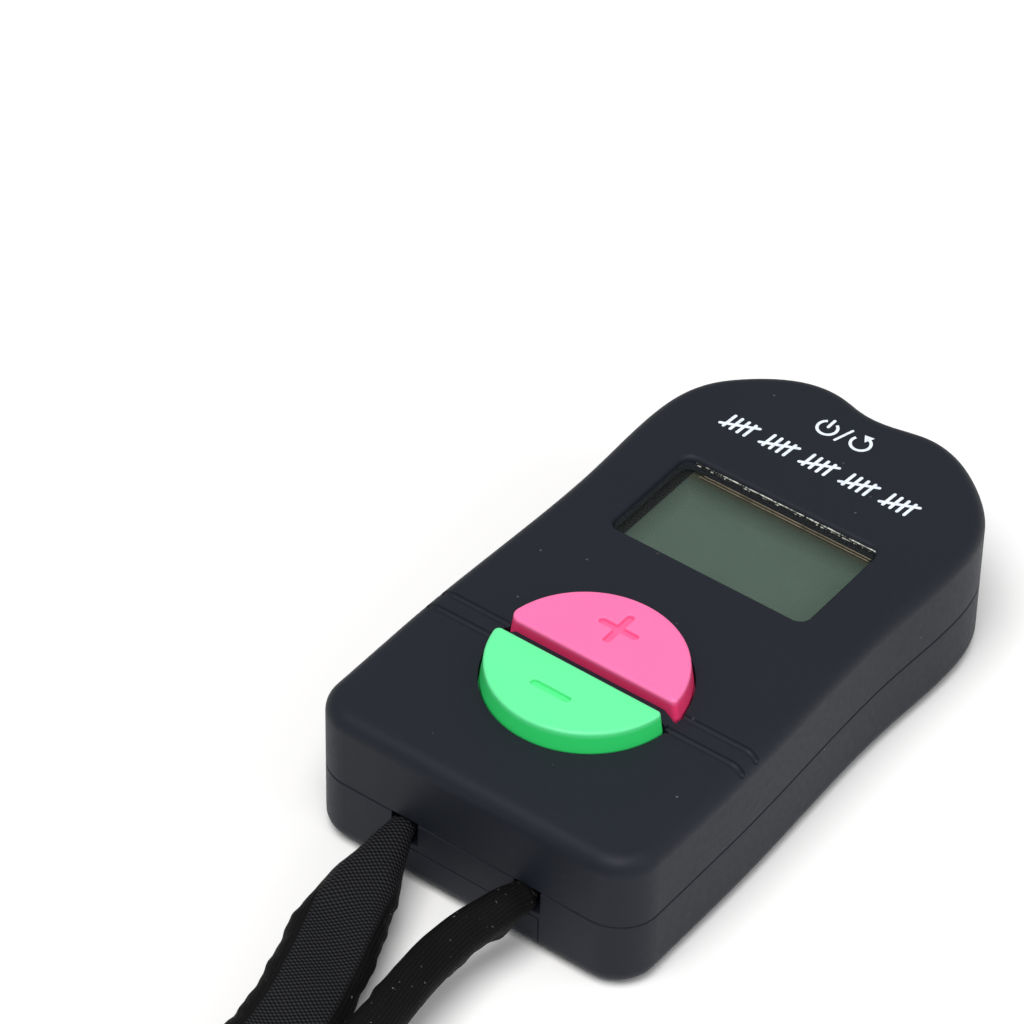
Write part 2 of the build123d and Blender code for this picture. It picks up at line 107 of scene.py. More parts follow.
# the two strands are one loop: inside the roll it turns back on itself in an S
RHO = 16.5
ra, rb = R_A - PITCH * A_END / 360.0, R_B - PITCH * B_END / 360.0
alpha = math.radians(180.0 + A_END)
d1, d3 = ra - RHO, rb - RHO
gamma = math.acos(max(-1.0, min(1.0, (d1 * d1 + d3 * d3 - 4 * RHO * RHO) / (2 * d1 * d3))))
psi = alpha - gamma
C1 = (d1 * math.cos(alpha), d1 * math.sin(alpha))
C3 = (d3 * math.cos(psi), d3 * math.sin(psi))
out13 = math.degrees(math.atan2(C3[1] - C1[1], C3[0] - C1[0]))
a0 = math.degrees(alpha) % 360.0
a1 = out13 % 360.0
while a1 < a0:
    a1 += 360.0
route += arc_points(C1, RHO, a0, a1, 8, 1.035)
b0 = (out13 + 180.0) % 360.0
b1 = math.degrees(psi) % 360.0
while b1 > b0:
    b1 -= 360.0
route += arc_points(C3, RHO, b0, b1, 6, 1.035)
B_START = (math.degrees(psi) - 180.0) % 360.0
deg = B_START - step * 0.6
while deg > -1e-6:
    route.append(on_roll(R_B, deg, 1.0 if deg < 10 else 1.019))
    deg -= step
route += list(reversed(RIGHT))
print("route points", len(route), "roll from", round(B_START, 1))

STRAP_T = 0.8


def nurbs_line(points, name, res=24):
    """points read from a smooth NURBS spline through the route"""
    cu = bpy.data.curves.new(name, "CURVE")
    cu.dimensions = "3D"
    sp = cu.splines.new("NURBS")
    sp.points.add(len(points) - 1)
    for p, q in zip(sp.points, points):
        p.co = (q[0] * MM, q[1] * MM, q[2] * MM, 1.0)
    sp.order_u = 3
    sp.use_endpoint_u = True
    sp.resolution_u = res
    ob = bpy.data.objects.new(name, cu)
    bpy.context.scene.collection.objects.link(ob)
    bpy.context.view_layer.update()
    me = bpy.data.meshes.new_from_object(ob)
    co = np.array([v.co for v in me.vertices], float)
    bpy.data.objects.remove(ob)
    bpy.data.meshes.remove(me)
    bpy.data.curves.remove(cu)
    return co


def evenly(co, stations):
    """points of the line at these distances along it"""
    d = np.r_[0, np.cumsum(np.linalg.norm(np.diff(co, axis=0), axis=1))]
    return np.stack([np.interp(stations, d, co[:, k]) for k in range(3)], 1), d[-1]


def smoothstep(x):
    x = np.clip(x, 0, 1)
    return x * x * (3 - 2 * x)


def ramp(s, table):
    """piecewise smooth value at distance s from a table of (s, value)"""
    xs, ys = [t[0] for t in table], [t[1] for t in table]
    i = int(np.searchsorted(xs, s))
    if i == 0:
        return ys[0]
    if i == len(xs):
        return ys[-1]
    k = float(smoothstep((s - xs[i - 1]) / (xs[i] - xs[i - 1])))
    return ys[i - 1] + (ys[i] - ys[i - 1]) * k


def new_object(name, verts, faces, smooth=True):
    me = bpy.data.meshes.new(name)
    me.from_pydata([tuple(v) for v in verts], [], faces)
    me.validate()
    me.update()
    if smooth:
        me.polygons.foreach_set("use_smooth", [True] * len(me.polygons))
    ob = bpy.data.objects.new(name, me)
    bpy.context.scene.collection.objects.link(ob)
    return ob


def profile(n, width, u0, u1, bend, thick, skew=0.0):
    """cross-section of the tape: n points over the top, bending down at both sides beyond u0, then back underneath.
    Returns (across, up, u) for each point round the section."""
    u = np.linspace(-1, 1, n)
    du = 2.0 / (n - 1)
    beta = np.radians(bend) * smoothstep((np.abs(u) - u0) / max(u1 - u0, 1e-3)) * np.sign(u) * (1 + skew * np.sign(u))
    half = width / 2
    ca, sa = np.cos(beta), -np.sin(beta)
    mid = n // 2
    x, y = np.zeros(n), np.zeros(n)
    for i in range(mid + 1, n):
        x[i] = x[i - 1] + half * du * (ca[i] + ca[i - 1]) / 2
        y[i] = y[i - 1] + half * du * (sa[i] + sa[i - 1]) / 2
    for i in range(mid - 1, -1, -1):
        x[i] = x[i + 1] - half * du * (ca[i] + ca[i + 1]) / 2
        y[i] = y[i + 1] - half * du * (sa[i] + sa[i + 1]) / 2
    nx, ny = -sa, ca                      # normal of the tape
    t = thick / 2 * np.clip((1 - np.abs(u)) / 0.045, 0.0, 1.0) ** 0.5
    t = np.maximum(t, thick * 0.06)
    top = np.stack([x + nx * t, y + ny * t], 1)
    bot = np.stack([x - nx * t, y - ny * t], 1)[::-1]
    centre = (top.mean(0) + bot.mean(0)) / 2
    ring = np.vstack([top, bot]) - centre * np.array([1.0, 1.0])
    return ring, np.r_[u, u[::-1]]


def ribbon(name, line, shape_at, n=25, uv_scale=1.0):
    """a tape along line (metres); shape_at(s_mm, total_mm) gives width, u0, u1, bend, thick, roll angle in degrees, and skew"""
    d = np.r_[0, np.cumsum(np.linalg.norm(np.diff(line, axis=0), axis=1))] / MM
    total = d[-1]
    tang = np.gradient(line, axis=0)
    tang /= np.linalg.norm(tang, axis=1)[:, None]
    verts, uv_u, uv_v = [], [], []
    up = np.array([0, 0, 1.0])
    rng = np.random.default_rng(11)
    ph = rng.uniform(0, 6.28, 12)
    for i, p in enumerate(line):
        s = d[i]
        width, u0, u1, bend, thick, theta, skew, wav = shape_at(s, total)
        ring, u = profile(n, width, u0, u1, bend, thick, skew)
        t = tang[i]
        h = np.cross(t, up)
        h /= np.linalg.norm(h)
        v = np.cross(h, t)
        th = math.radians(theta)
        w, nn = h * math.cos(th) + v * math.sin(th), -h * math.sin(th) + v * math.cos(th)
        # loose edges wave a little, more on one side than the other
        wave = wav * (np.abs(u) ** 3) * (np.sin(s * 0.75 + ph[0] + 2.1 * (u > 0)) * 0.22 + np.sin(s * 1.9 + ph[1] + 1.3 * (u > 0)) * 0.08)
        wave2 = wav * (0.10 * np.sin(s * 0.42 + 3.0 * u + ph[2]) + 0.06 * np.sin(s * 0.9 - 4.0 * u + ph[3]))
        edge = wav * np.sign(u) * (np.abs(u) ** 4) * (0.12 * np.sin(s * 1.1 + ph[4] + 2 * (u > 0)) + 0.06 * np.sin(s * 2.7 + ph[5]))
        verts.append(p + ((ring[:, 0] + edge)[:, None] * w + (ring[:, 1] + wave + wave2)[:, None] * nn) * MM)
        uv_u.append(u * width / 2)
        uv_v.append(np.full(len(u), s))
    k = 2 * n
    verts = np.vstack(verts)
    faces = []
    for i in range(len(line) - 1):
        for j in range(k):
            j2 = (j + 1) % k
            faces.append((i * k + j, i * k + j2, (i + 1) * k + j2, (i + 1) * k + j))
    for i in (0, len(line) - 1):
        base = i * k
        for j in range(n - 1):
            q = (base + j, base + j + 1, base + k - 2 - j, base + k - 1 - j)
            faces.append(q if i else tuple(reversed(q)))
    ob = new_object(name, verts, faces)
    uu, vv = np.concatenate(uv_u), np.concatenate(uv_v)
    layer = ob.data.uv_layers.new(name="tape_mm")
    idx = np.zeros(len(ob.data.loops), np.int32)
    ob.data.loops.foreach_get("vertex_index", idx)
    layer.data.foreach_set("uv", np.stack([uu[idx] * 0.1, vv[idx] * 0.1], 1).astype(np.float32).ravel())
    bm = bmesh.new()
    bm.from_mesh(ob.data)
    bmesh.ops.recalc_face_normals(bm, faces=bm.faces)
    bm.to_mesh(ob.data)
    bm.free()
    return ob


full = nurbs_line(route, "route_line")
cum = np.r_[0, np.cumsum(np.linalg.norm(np.diff(full, axis=0), axis=1))] / MM
LENGTH = cum[-1]
stations = np.r_[np.arange(0, 75, 0.5), np.arange(75, 130, 1.2), np.arange(130, LENGTH - 130, 1.6),
                 np.arange(LENGTH - 130, LENGTH - 75, 1.2), np.arange(LENGTH - 75, LENGTH, 0.5), LENGTH]
line, _ = evenly(full, stations * MM)
print("strap length mm", round(LENGTH, 1), "stations", len(stations))

# distance from the left slot -> shape; from the right slot -> shape
L_W = [(0, 8.0), (4, 9.5), (8, 10.2), (1000, 10.2)]
L_U0 = [(0, 0.0), (4, 0.05), (9, 0.25), (15, 0.50), (40, 0.52), (80, 0.6)]
L_U1 = [(0, 0.55), (4, 0.65), (9, 0.8), (15, 0.92), (40, 0.94), (80, 1.0)]
L_BEND = [(0, 135), (2, 112), (5, 92), (10, 72), (17, 60), (30, 54), (60, 22), (85, 0)]
L_TH = [(0, 6), (5, 10), (12, 15), (26, 15), (45, 30), (88, 90)]
R_W = [(0, 8.6), (3, 10.2), (1000, 10.2)]
R_U0 = [(0, 0.0), (30, 0.0), (60, 0.2), (85, 0.6)]
R_U1 = [(0, 0.55), (12, 0.6), (30, 0.55), (60, 0.7), (85, 1.0)]
R_BEND = [(0, -124), (4, -104), (14, -92), (30, -84), (55, -40), (85, 0)]
R_TH = [(0, 10), (6, 26), (14, 36), (26, 44), (50, 66), (88, 90)]


def strap_shape(s, total):
    """shape at s; the tape stays on edge all through the roll, so the half that runs back is turned by 180 degrees"""
    q = total - s
    if s <= q:
        wav = ramp(s, [(0, 0.2), (6, 1.0), (50, 1.0), (90, 0.0)])
        return (ramp(s, L_W), ramp(s, L_U0), ramp(s, L_U1), ramp(s, L_BEND), STRAP_T, ramp(s, L_TH), 0.12, wav)
    wav = ramp(q, [(0, 0.2), (6, 1.2), (50, 1.2), (90, 0.0)])
    return (ramp(q, R_W), ramp(q, R_U0), ramp(q, R_U1), ramp(q, R_BEND), STRAP_T, 180.0 - ramp(q, R_TH), 0.1, wav)


strap = ribbon("lanyard_strap", line, strap_shape)
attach(strap, CASE)
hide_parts("lanyard_strap_left", "lanyard_strap_right", "lanyard_roll")

# the tape behind the bar between the two slots
inner_pts = [(-7.45, -35.65, 6.55), (-7.45, -34.1, 6.55), (-6.2, -32.9, 6.55), (-3.2, -32.8, 6.55), (0.0, -32.9, 6.55),
             (3.2, -32.8, 6.55), (6.2, -32.9, 6.55), (7.45, -34.1, 6.55), (7.45, -35.65, 6.55)]
iline = nurbs_line(inner_pts, "inner_line")
ilen = float(np.linalg.norm(np.diff(iline, axis=0), axis=1).sum())
ipts, _ = evenly(iline, np.linspace(0, ilen, 60))
inner = ribbon("lanyard_inner_tape", ipts, lambda s, total: (5.6, 0.0, 0.5, 130, 0.6, 0.0, 0.0, 0.0))
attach(inner, CASE)
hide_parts("lanyard_inner")


# ---------------------------------------------------------------- band round the roll
def loop_band(name, cx, y_mid, half_y, z0, z1, width, thick, nseg=44, nw=9):
    """rubber band standing round the bundled turns: a rounded rectangle loop in the YZ plane, swollen a little in the middle"""
    rc = 1.6
    hy, hz, zc = half_y, (z1 - z0) / 2, (z0 + z1) / 2
    path = []
    for (sy, sz, a0) in ((1, 1, 0), (-1, 1, 90), (-1, -1, 180), (1, -1, 270)):
        for k in range(nseg // 4):
            a = math.radians(a0 + 90.0 * k / (nseg // 4 - 1))
            path.append((sy * (hy - rc) + rc * math.cos(a), sz * (hz - rc) + rc * math.sin(a), math.cos(a), math.sin(a)))
    # more points along the straight runs
    dense = []
    for k, (y, z, ny, nz) in enumerate(path):
        y2, z2, ny2, nz2 = path[(k + 1) % len(path)]
        gap = math.hypot(y2 - y, z2 - z)
        m_ = max(1, int(gap / 0.5))
        for q in range(m_):
            f = q / m_
            dense.append((y + (y2 - y) * f, z + (z2 - z) * f, ny + (ny2 - ny) * f, nz + (nz2 - nz) * f))
    ring = []
    for q in range(nw):
        a = math.pi * q / (nw - 1)
        ring.append((-width / 2 * math.cos(a), thick * (0.35 + 0.65 * math.sin(a) ** 0.5)))
    ring += [(width / 2 * (1 - 2 * q / 4.0), 0.0) for q in range(5)]
    verts, faces = [], []
    for k, (y, z, ny, nz) in enumerate(dense):
        wob = 0.10 * math.sin(k * 0.31) + 0.06 * math.sin(k * 0.83 + 1)
        for (x, o) in ring:
            verts.append(((cx + x + wob) * MM, (y_mid + y + ny * o) * MM, (zc + z + nz * o) * MM))
    n, r = len(dense), len(ring)
    for k in range(n):
        for q in range(r):
            faces.append((k * r + q, k * r + (q + 1) % r, ((k + 1) % n) * r + (q + 1) % r, ((k + 1) % n) * r + q))
    ob = new_object(name, verts, faces)
    bm = bmesh.new()
    bm.from_mesh(ob.data)
    bmesh.ops.recalc_face_normals(bm, faces=bm.faces)
    bm.to_mesh(ob.data)
    bm.free()
    return ob


band = loop_band("roll_band", ROLL_C[0], ROLL_C[1] - 40.7, 5.9, 0.64, 10.4, 5.6, 0.60)
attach(band, CASE)
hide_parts("roll_tie")


# ---------------------------------------------------------------- return spring of the reset cap
def coil_spring(name, c, y0, y1, r, wire, turns, per_turn=48, sides=12):
    """round wire wound along Y between y0 and y1 (wire centres), closed at both ends"""
    verts, faces = [], []
    n = int(turns * per_turn)
    for i in range(n + 1):
        f = i / n
        a = 2 * math.pi * turns * f
        p = Vector((c[0] + r * math.cos(a), y0 + (y1 - y0) * f, c[1] + r * math.sin(a)))
        t = Vector((-r * math.sin(a) * 2 * math.pi * turns, y1 - y0, r * math.cos(a) * 2 * math.pi * turns)).normalized()
        out = Vector((math.cos(a), 0, math.sin(a)))
        side = t.cross(out).normalized()
        for k in range(sides):
            b = 2 * math.pi * k / sides
            verts.append(tuple((p + (out * math.cos(b) + side * math.sin(b)) * wire) * MM))
    for i in range(n):
        for k in range(sides):
            faces.append((i * sides + k, i * sides + (k + 1) % sides, (i + 1) * sides + (k + 1) % sides, (i + 1) * sides + k))
    faces.append(tuple(range(sides - 1, -1, -1)))
    faces.append(tuple(n * sides + k for k in range(sides)))
    ob = new_object(name, verts, faces)
    bm = bmesh.new()
    bm.from_mesh(ob.data)
    bmesh.ops.recalc_face_normals(bm, faces=bm.faces)
    bm.to_mesh(ob.data)
    bm.free()
    return ob


spring = coil_spring("reset_return_spring", (0.0, 7.8), 28.72, 30.80, 2.0, 0.2, 2.5)
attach(spring, CASE)
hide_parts("reset_spring")
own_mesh(spring)


# ---------------------------------------------------------------- printed marks, in mm on the display face
FACE_Z = 16.6


def outline_solid(bm, pts, z0, z1):
    """closed prism over a convex outline in the XY plane"""
    lo_v = [bm.verts.new((x * MM, y * MM, z0 * MM)) for x, y in pts]
    hi_v = [bm.verts.new((x * MM, y * MM, z1 * MM)) for x, y in pts]
    bm.faces.new(hi_v)
    bm.faces.new(list(reversed(lo_v)))
    n = len(pts)
    for k in range(n):
        bm.faces.new((lo_v[k], lo_v[(k + 1) % n], hi_v[(k + 1) % n], hi_v[k]))


def stroke(bm, a, b, w, z0=FACE_Z - 0.03, z1=FACE_Z + 0.012):
    """straight ink stroke with round ends"""
    ang = math.atan2(b[1] - a[1], b[0] - a[0])
    pts = []
    for c, base in ((b, ang - math.pi / 2), (a, ang + math.pi / 2)):
        for k in range(9):
            t = base + math.pi * k / 8
            pts.append((c[0] + w / 2 * math.cos(t), c[1] + w / 2 * math.sin(t)))
    outline_solid(bm, pts, z0, z1)


def arc_stroke(bm, c, r, a0, a1, w, n=26, z0=FACE_Z - 0.03, z1=FACE_Z + 0.012):
    """ring part with square ends"""
    idx = []
    for k in range(n + 1):
        t = math.radians(a0 + (a1 - a0) * k / n)
        row = []
        for rr in (r - w / 2, r + w / 2):
            for z in (z0, z1):
                row.append(bm.verts.new(((c[0] + rr * math.cos(t)) * MM, (c[1] + rr * math.sin(t)) * MM, z * MM)))
        idx.append(row)
    for p_, q_ in zip(idx[:-1], idx[1:]):
        for u_, v_ in ((0, 1), (1, 3), (3, 2), (2, 0)):
            bm.faces.new((p_[u_], p_[v_], q_[v_], q_[u_]))
    for row, flip in ((idx[0], False), (idx[-1], True)):
        f = (row[0], row[2], row[3], row[1])
        bm.faces.new(tuple(reversed(f)) if flip else f)


def mark_object(name, build):
    bm = bmesh.new()
    build(bm)
    bmesh.ops.recalc_face_normals(bm, faces=bm.faces)
    me_ = bpy.data.meshes.new(name)
    bm.to_mesh(me_)
    bm.free()
    ob = bpy.data.objects.new(name, me_)
    bpy.context.scene.collection.objects.link(ob)
    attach(ob, CASE)
    return ob


def tally_rows(bm):
    """four groups of tally strokes in one row above the display"""
    w, lean = 0.36, 0.14
    for x0 in (-12.1, -7.15, -2.2, 2.75, 7.7):
        y0, y1 = 22.62, 24.98
        for k in range(4):
            x = x0 + 0.55 + 0.86 * k
            stroke(bm, (x, y0 + 0.18), (x + lean, y1 - 0.18), w)
        stroke(bm, (x0, y0 + 0.35), (x0 + 3.86, y1 - 0.35), w, z1=FACE_Z + 0.024)


def power_sign(bm):
    arc_stroke(bm, (-2.9, 29.1), 1.08, 122, 418, 0.34)
    stroke(bm, (-2.9, 29.25), (-2.9, 30.45), 0.34)


def reset_sign(bm):
    c, r = (1.2, 29.15), 1.08
    arc_stroke(bm, c, r, 150, 425, 0.34)
    a = math.radians(65)
    x, y = c[0] + r * math.cos(a), c[1] + r * math.sin(a)
    d = (-math.sin(a), math.cos(a))
    nrm = (math.cos(a), math.sin(a))
    tri = [(x + d[0] * 0.95, y + d[1] * 0.95), (x - nrm[0] * 0.62, y - nrm[1] * 0.62), (x + nrm[0] * 0.62, y + nrm[1] * 0.62)]
    outline_solid(bm, tri, FACE_Z - 0.03, FACE_Z + 0.014)


def dividing_stroke(bm):
    stroke(bm, (-1.25, 28.0), (-0.55, 30.3), 0.30)


ink = [mark_object("print_tally_groups", tally_rows), mark_object("print_power_sign", power_sign),
       mark_object("print_reset_sign", reset_sign), mark_object("print_stroke", dividing_stroke)]


# ---------------------------------------------------------------- edge of the clear window, seen along its far side: strips with painted glints
def edge_strip(name, y_front, prof, x0, x1, n, seed, wob, slope=0.0):
    """thin strip along X that carries painted glint lines; prof lists (out, z) in mm, out towards the viewer"""
    rng = np.random.default_rng(seed)
    ph = rng.uniform(0, 6.28, 6)
    verts, faces = [], []
    k = len(prof)
    for i in range(n + 1):
        f = i / n
        x = x0 + (x1 - x0) * f
        dz = wob * (math.sin(f * 37 + ph[0]) * 0.5 + math.sin(f * 91 + ph[1]) * 0.35 + math.sin(f * 171 + ph[2]) * 0.25) + slope * f
        do = wob * 0.5 * (math.sin(f * 53 + ph[3]) + math.sin(f * 133 + ph[4]))
        end = 0.35 if i in (0, n) else 1.0
        zc = sum(q[1] for q in prof) / k
        for (o, z) in prof:
            verts.append((x * MM, (y_front - (o + do) * end) * MM, (zc + (z - zc) * end + dz) * MM))
    for i in range(n):
        for j in range(k):
            faces.append((i * k + j, i * k + (j + 1) % k, (i + 1) * k + (j + 1) % k, (i + 1) * k + j))
    faces.append(tuple(range(k - 1, -1, -1)))
    faces.append(tuple(n * k + j for j in range(k)))
    ob = new_object(name, verts, faces)
    bm = bmesh.new()
    bm.from_mesh(ob.data)
    bmesh.ops.recalc_face_normals(bm, faces=bm.faces)
    bm.to_mesh(ob.data)
    bm.free()
    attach(ob, CASE)
    return ob


def bead(z0, z1, out):
    zc, h = (z0 + z1) / 2, (z1 - z0) / 2
    return [(out * max(0.0, math.cos(a)), zc + h * math.sin(a)) for a in [math.radians(-90 + 180 * q / 6) for q in range(7)]] + [(-0.05, z1), (-0.05, z0)]


# painted glints: these strips carry streaks of reflection painted into their colour along the far edge of the window
edge_top = edge_strip("window_edge_top", 16.72, bead(16.12, 16.24, 0.07), -10.6, 11.7, 150, 3, 0.012, 0.10)
edge_mid = edge_strip("window_edge_mid", 16.72, bead(15.86, 15.99, 0.07), -10.5, 11.5, 150, 5, 0.014, 0.06)
edge_low = edge_strip("window_edge_low", 16.72, bead(14.50, 14.62, 0.08), -10.2, 10.8, 150, 7, 0.006)
edge_rib = edge_strip("window_edge_rib", 16.72, bead(14.86, 14.98, 0.06), -9.6, 11.1, 150, 9, 0.008)


# ---------------------------------------------------------------- node helpers
def material(name):
    mt = bpy.data.materials.new(name)
    mt.use_nodes = True
    nt = mt.node_tree
    nt.nodes.clear()
    out = nt.nodes.new("ShaderNodeOutputMaterial")
    bs = nt.nodes.new("ShaderNodeBsdfPrincipled")
    nt.links.new(bs.outputs[0], out.inputs[0])
    return mt, nt, bs


def node(nt, kind, **props):
    n = nt.nodes.new(kind)
    for k, v in props.items():
        setattr(n, k, v)
    return n


def link(nt, a, b):
    nt.links.new(a, b)


def coords(nt, scale=(1, 1, 1), rot=(0, 0, 0), source="Object"):
    tc = node(nt, "ShaderNodeTexCoord")
    mp = node(nt, "ShaderNodeMapping")
    mp.inputs["Scale"].default_value = scale
    mp.inputs["Rotation"].default_value = rot
    link(nt, tc.outputs[source], mp.inputs["Vector"])
    return mp.outputs["Vector"]


def noise(nt, vec, scale, detail=3.0, rough=0.5, dist=0.0):
    n = node(nt, "ShaderNodeTexNoise")
    n.inputs["Scale"].default_value = scale
    n.inputs["Detail"].default_value = detail
    n.inputs["Roughness"].default_value = rough
    n.inputs["Distortion"].default_value = dist
    link(nt, vec, n.inputs["Vector"])
    return n.outputs["Fac"]


def ramp_node(nt, fac, stops, interp="LINEAR"):
    r = node(nt, "ShaderNodeValToRGB")
    r.color_ramp.interpolation = interp
    el = r.color_ramp.elements
    while len(el) > 1:
        el.remove(el[-1])
    for i, (p, c) in enumerate(stops):
        c = c if len(c) == 4 else (*c, 1.0)
        if i == 0:
            el[0].position, el[0].color = p, c
        else:
            e = el.new(p)
            e.color = c
    link(nt, fac, r.inputs["Fac"])
    return r.outputs["Color"]


def remap(nt, fac, a, b, c, d):
    r = node(nt, "ShaderNodeMapRange")
    for k, v in (("From Min", a), ("From Max", b), ("To Min", c), ("To Max", d)):
        r.inputs[k].default_value = v
    link(nt, fac, r.inputs["Value"])
    return r.outputs["Result"]


def mix_rgb(nt, fac, a, b, mode="MIX"):
    mx = node(nt, "ShaderNodeMix", data_type="RGBA", blend_type=mode)
    for sock, v in ((mx.inputs[0], fac), (mx.inputs[6], a), (mx.inputs[7], b)):
        if hasattr(v, "is_linked"):
            link(nt, v, sock)
        elif isinstance(v, (int, float)):
            sock.default_value = v
        else:
            sock.default_value = v if len(v) == 4 else (*v, 1.0)
    return mx.outputs[2]


def math_node(nt, op, a, b=None, c=None, clamp=False):
    mn = node(nt, "ShaderNodeMath", operation=op, use_clamp=clamp)
    for i, v in enumerate((a, b, c)):
        if v is None:
            continue
        if hasattr(v, "is_linked"):
            link(nt, v, mn.inputs[i])
        else:
            mn.inputs[i].default_value = v
    return mn.outputs[0]


def bump(nt, bs, height, strength, distance):
    b = node(nt, "ShaderNodeBump")
    b.inputs["Strength"].default_value = strength
    b.inputs["Distance"].default_value = distance
    link(nt, height, b.inputs["Height"])
    link(nt, b.outputs["Normal"], bs.inputs["Normal"])


def plain(name, base, rough, var=0.12, scale=900.0, bump_s=0.1, bump_d=2e-5, metallic=0.0, spec=0.5, coat=0.0):
    """moulded or stamped stock: mottled colour, uneven roughness and a fine surface"""
    mt, nt, bs = material(name)
    v = coords(nt)
    n1 = noise(nt, v, scale * 0.25, 3)
    n2 = noise(nt, v, scale * 6, 2)
    lo = tuple(c * (1 - var) for c in base)
    hi = tuple(min(1.0, c * (1 + var)) for c in base)
    link(nt, ramp_node(nt, n1, [(0.35, lo), (0.65, hi)]), bs.inputs["Base Color"])
    link(nt, remap(nt, n2, 0.3, 0.7, max(0.02, rough - 0.06), min(1.0, rough + 0.06)), bs.inputs["Roughness"])
    bs.inputs["Metallic"].default_value = metallic
    bs.inputs["Specular IOR Level"].default_value = spec
    bs.inputs["Coat Weight"].default_value = coat
    bump(nt, bs, n2, bump_s, bump_d)
    return mt


def dust(nt, vec, base, amount=0.35, seed=0.0, cell=190.0, size=0.055):
    """sparse pale specks of dust on a colour"""
    mp = node(nt, "ShaderNodeMapping")
    mp.inputs["Location"].default_value = (seed, seed * 1.7, seed * 0.6)
    link(nt, vec, mp.inputs["Vector"])
    vo = node(nt, "ShaderNodeTexVoronoi", feature="F1")
    vo.inputs["Scale"].default_value = cell
    vo.inputs["Randomness"].default_value = 1.0
    link(nt, mp.outputs[0], vo.inputs["Vector"])
    keep = math_node(nt, "GREATER_THAN", node_sep(nt, vo.outputs["Color"], 0), 0.62)
    spot = remap(nt, vo.outputs["Distance"], size * 0.5, size, 1.0, 0.0)
    jitter = noise(nt, mp.outputs[0], cell * 14, 2)
    f = math_node(nt, "MULTIPLY", math_node(nt, "MULTIPLY", spot, keep), remap(nt, jitter, 0.4, 0.6, 0.0, 1.0))
    f = math_node(nt, "MULTIPLY", f, amount, clamp=True)
    return mix_rgb(nt, f, base, (0.30, 0.31, 0.33))


def node_sep(nt, color, i):
    s = node(nt, "ShaderNodeSeparateColor")
    link(nt, color, s.inputs[0])
    return s.outputs[i]


# ---------------------------------------------------------------- materials
def soft_touch(name):
    mt, nt, bs = material(name)
    v = coords(nt)
    broad = noise(nt, v, 30, 3, 0.5)
    fine = noise(nt, v, 5200, 2, 0.6)
    mid = noise(nt, v, 1500, 2, 0.5)
    base = ramp_node(nt, broad, [(0.3, (0.0112, 0.0138, 0.0205)), (0.7, (0.0124, 0.0151, 0.0222))])
    base = mix_rgb(nt, remap(nt, mid, 0.4, 0.8, 0.0, 0.25), base, (0.0160, 0.0185, 0.0260))
    base = dust(nt, v, base, 0.55, 0.0, 170.0, 0.045)
    base = dust(nt, v, base, 0.35, 3.1, 420.0, 0.07)
    link(nt, base, bs.inputs["Base Color"])
    r = remap(nt, mid, 0.3, 0.7, 0.50, 0.56)
    link(nt, r, bs.inputs["Roughness"])
    bs.inputs["Specular IOR Level"].default_value = 0.17
    h = math_node(nt, "ADD", fine, math_node(nt, "MULTIPLY", mid, 0.5))
    bump(nt, bs, h, 0.16, 1.6e-5)
    return mt


def glossy_cap(name, top, wall_shade_colour, z_top=None, rough=0.36):
    """coloured cap: painted shade, a deeper colour, down the lower side walls; fine moulding texture"""
    mt, nt, bs = material(name)
    v = coords(nt)
    n = noise(nt, v, 160, 3)
    fine = noise(nt, v, 3800, 2)
    c = ramp_node(nt, n, [(0.3, tuple(a * 0.97 for a in top)), (0.7, top)])
    # painted shade: the side walls take a deeper, darker colour towards the face
    if z_top is not None:
        sp = node(nt, "ShaderNodeSeparateXYZ")
        link(nt, v, sp.inputs[0])
        wall_shade_mask = node(nt, "ShaderNodeClamp")
        link(nt, remap(nt, sp.outputs[2], (z_top - 0.75) * MM, (z_top - 0.22) * MM, 1.0, 0.0), wall_shade_mask.inputs[0])
        c = mix_rgb(nt, wall_shade_mask.outputs[0], c, wall_shade_colour)
    link(nt, c, bs.inputs["Base Color"])
    link(nt, remap(nt, fine, 0.3, 0.7, rough - 0.04, rough + 0.04), bs.inputs["Roughness"])
    bs.inputs["Specular IOR Level"].default_value = 0.35
    bs.inputs["Subsurface Weight"].default_value = 0.15
    bs.inputs["Subsurface Radius"].default_value = (1.0, 0.6, 0.6)
    bs.inputs["Subsurface Scale"].default_value = 0.0008
    bump(nt, bs, fine, 0.08, 1.0e-5)
    return mt


def ink_white(name):
    mt, nt, bs = material(name)
    v = coords(nt)
    n = noise(nt, v, 2600, 3, 0.6)
    link(nt, ramp_node(nt, n, [(0.32, (0.62, 0.68, 0.78)), (0.5, (0.80, 0.86, 0.94))]), bs.inputs["Base Color"])
    link(nt, remap(nt, n, 0.3, 0.7, 0.40, 0.55), bs.inputs["Roughness"])
    bs.inputs["Specular IOR Level"].default_value = 0.3
    bump(nt, bs, n, 0.2, 1.5e-5)
    return mt


def painted_edge_streaks(name, bright, dark, lo_, hi_, cell=900.0, rough=0.12):
    """painted glints: broken streaks of reflection painted along the edge of the clear window"""
    mt, nt, bs = material(name)
    v = coords(nt, (1.0, 0.15, 0.15))
    n = noise(nt, v, cell, 4, 0.75)
    link(nt, ramp_node(nt, n, [(lo_, dark), (hi_, bright)]), bs.inputs["Base Color"])
    link(nt, remap(nt, n, 0.3, 0.7, rough, rough + 0.1), bs.inputs["Roughness"])
    bs.inputs["Specular IOR Level"].default_value = 0.6
    bump(nt, bs, n, 0.4, 3e-5)
    return mt


